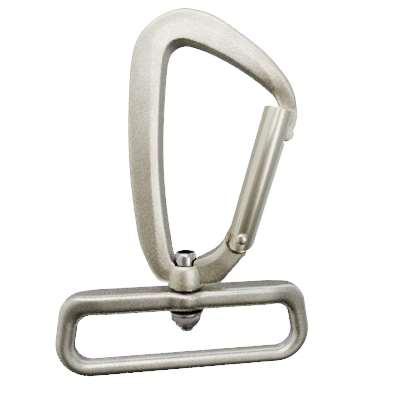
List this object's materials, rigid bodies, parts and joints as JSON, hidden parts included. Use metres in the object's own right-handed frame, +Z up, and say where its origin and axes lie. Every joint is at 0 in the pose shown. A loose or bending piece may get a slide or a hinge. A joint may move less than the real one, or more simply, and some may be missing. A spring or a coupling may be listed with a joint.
{
  "type": "swivel snap hook",
  "caption": "Asymmetric snap hook with a sprung bar gate, on a swivel bolt that carries a rectangular webbing loop.",
  "frame": {"origin": "inner apex of the bow, where the hook hangs, on the swivel's axis", "axes": "+Z up along the swivel's axis, +X from the spine to the gate, +Y through the hook's thickness, away from the front"},
  "size_m": [0.0598, 0.0196, 0.083],
  "materials": {
    "hook_body": "satin, fine blasted grain",
    "gate": "brushed along its length",
    "hinge_rivet": "polished dome",
    "gate_spring": "drawn wire",
    "spring_plunger": "turned",
    "swivel_bolt": "polished, dark socket",
    "thrust_washer": "plain",
    "nut_washer": "plain",
    "lock_nut": "dull plated",
    "nylon_insert": "matt",
    "webbing_loop": "satin, tumbled"
  },
  "bodies": {
    "hook": {"hook_body": "hook_body", "swivel_bolt": "swivel_bolt", "thrust_washer": "thrust_washer", "nut_washer": "nut_washer", "lock_nut": "lock_nut", "nylon_insert": "nylon_insert"},
    "gate": {"gate": "gate", "hinge_rivet": "hinge_rivet", "gate_spring": "gate_spring"},
    "plunger": {"spring_plunger": "spring_plunger"},
    "loop": {"webbing_loop": "webbing_loop"}
  },
  "joints": [
    {"name": "gate_hinge", "type": "hinge", "parent": "hook", "child": "gate", "pos_m": [0.01325, 0, -0.0435], "axis": [0, -1, 0], "range_deg": [0, 32], "stiffness_Nm_per_rad": 0.06, "springref_deg": -28.65},
    {"name": "plunger_slide", "type": "slide", "parent": "gate", "child": "plunger", "axis": [0.2748, 0, 0.9615], "range_m": [0, 0.00045], "deforming": ["gate_spring"]},
    {"name": "loop_swivel", "type": "hinge", "parent": "hook", "child": "loop", "pos_m": [0, 0, -0.0553], "axis": [0, 0, 1], "continuous": true}
  ],
  "couplings": [
    {"joint": "plunger_slide", "follows": "gate_hinge", "m_per_rad": 0.00074}
  ]
}
